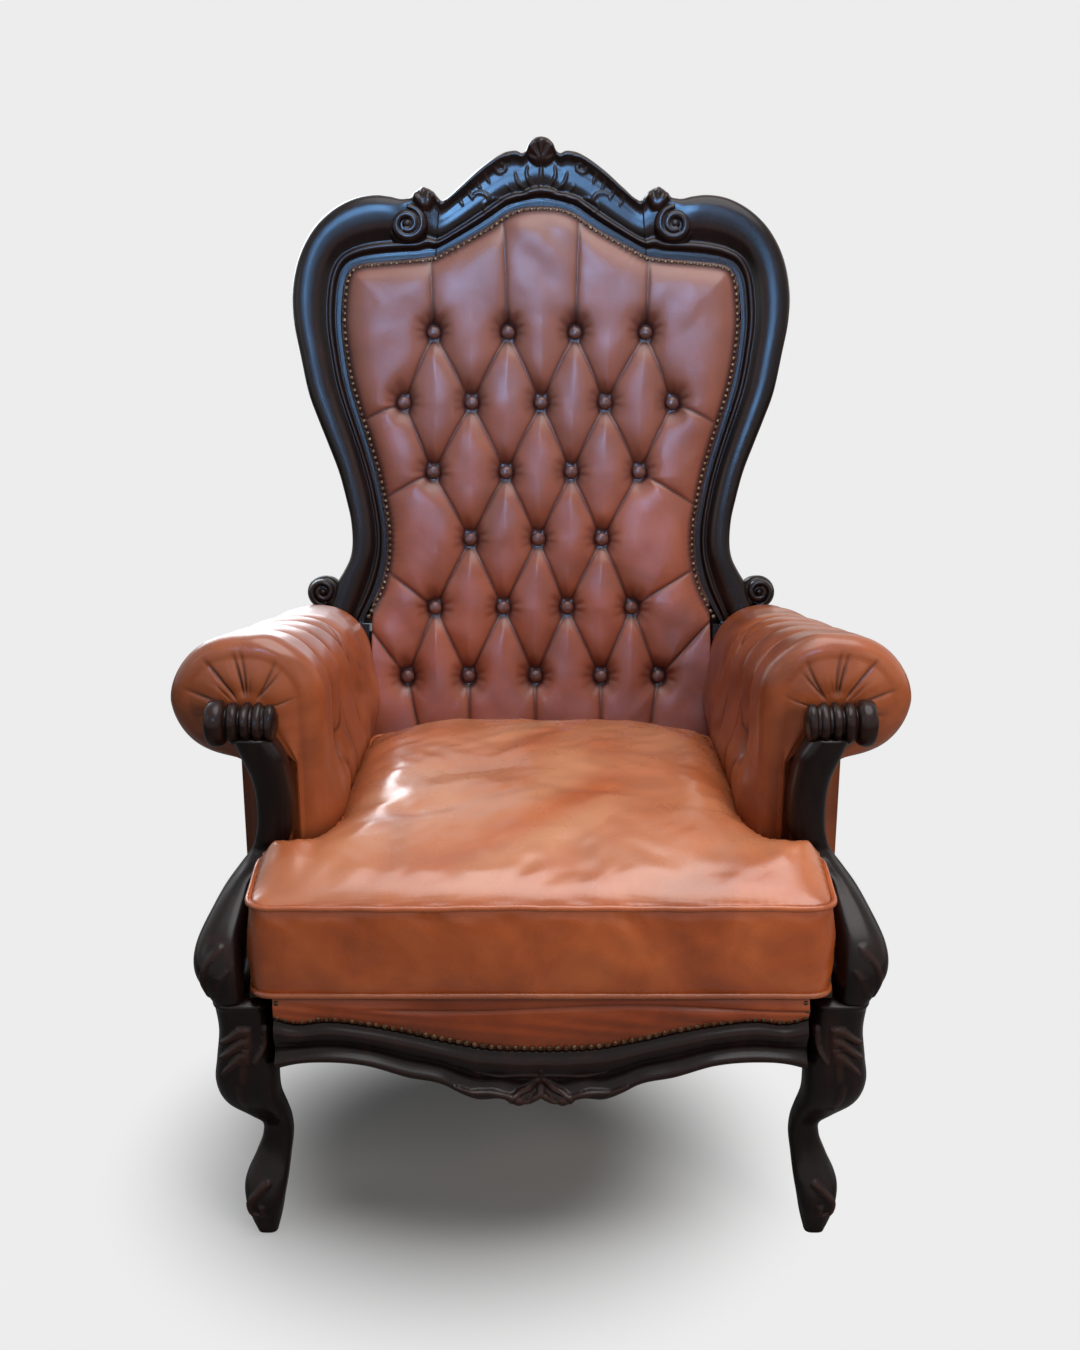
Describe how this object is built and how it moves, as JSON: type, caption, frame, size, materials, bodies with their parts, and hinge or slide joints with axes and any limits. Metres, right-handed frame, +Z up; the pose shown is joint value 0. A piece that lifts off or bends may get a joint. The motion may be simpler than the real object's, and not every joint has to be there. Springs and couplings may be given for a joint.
{
  "type": "wing-backed leather armchair",
  "caption": "High wing-backed leather armchair with deep-buttoned back, rolled arms, loose T-shaped seat cushion and a carved dark show-wood frame.",
  "frame": {"origin": "on the floor under the middle of the chair's outer size", "axes": "+Z up, -Y towards the front of the seat, +X to the right as seen from the front"},
  "size_m": [0.8202, 0.8243, 1.1918],
  "materials": {
    "carved_wood": "polished",
    "hidden_wood": "raw",
    "seat_leather": "glazed",
    "back_leather": "glazed",
    "webbing": "woven",
    "deck_cloth": "plain",
    "antique_brass": "patinated"
  },
  "bodies": {
    "chair": {"back_buttons": "back_leather", "back_nail_band": "antique_brass", "back_pad": "back_leather", "back_webbing": "webbing", "crest_rail": "carved_wood", "front_border": "seat_leather", "front_nail_band": "antique_brass", "front_seat_rail": "carved_wood", "left_arm_buttons": "back_leather", "left_arm_pad": "back_leather", "left_arm_post": "carved_wood", "left_arm_rail": "hidden_wood", "left_back_stile": "carved_wood", "left_front_corner_block": "hidden_wood", "left_front_leg": "carved_wood", "left_outside_arm_panel": "back_leather", "left_rear_corner_block": "hidden_wood", "left_rear_leg": "carved_wood", "left_side_seat_rail": "carved_wood", "lower_back_rail": "hidden_wood", "outside_back_panel": "back_leather", "rear_seat_rail": "hidden_wood", "right_arm_buttons": "back_leather", "right_arm_pad": "back_leather", "right_arm_post": "carved_wood", "right_arm_rail": "hidden_wood", "right_back_stile": "carved_wood", "right_front_corner_block": "hidden_wood", "right_front_leg": "carved_wood", "right_outside_arm_panel": "back_leather", "right_rear_corner_block": "hidden_wood", "right_rear_leg": "carved_wood", "right_side_seat_rail": "carved_wood", "seat_deck": "deck_cloth", "seat_webbing": "webbing"},
    "cushion": {"seat_cushion": "seat_leather", "cushion_top_piping": "seat_leather", "cushion_bottom_piping": "seat_leather"}
  },
  "joints": [
    {"name": "cushion_lift", "type": "slide", "parent": "chair", "child": "cushion", "axis": [0, -0.7071, 0.7071], "range_m": [0, 0.6]}
  ]
}
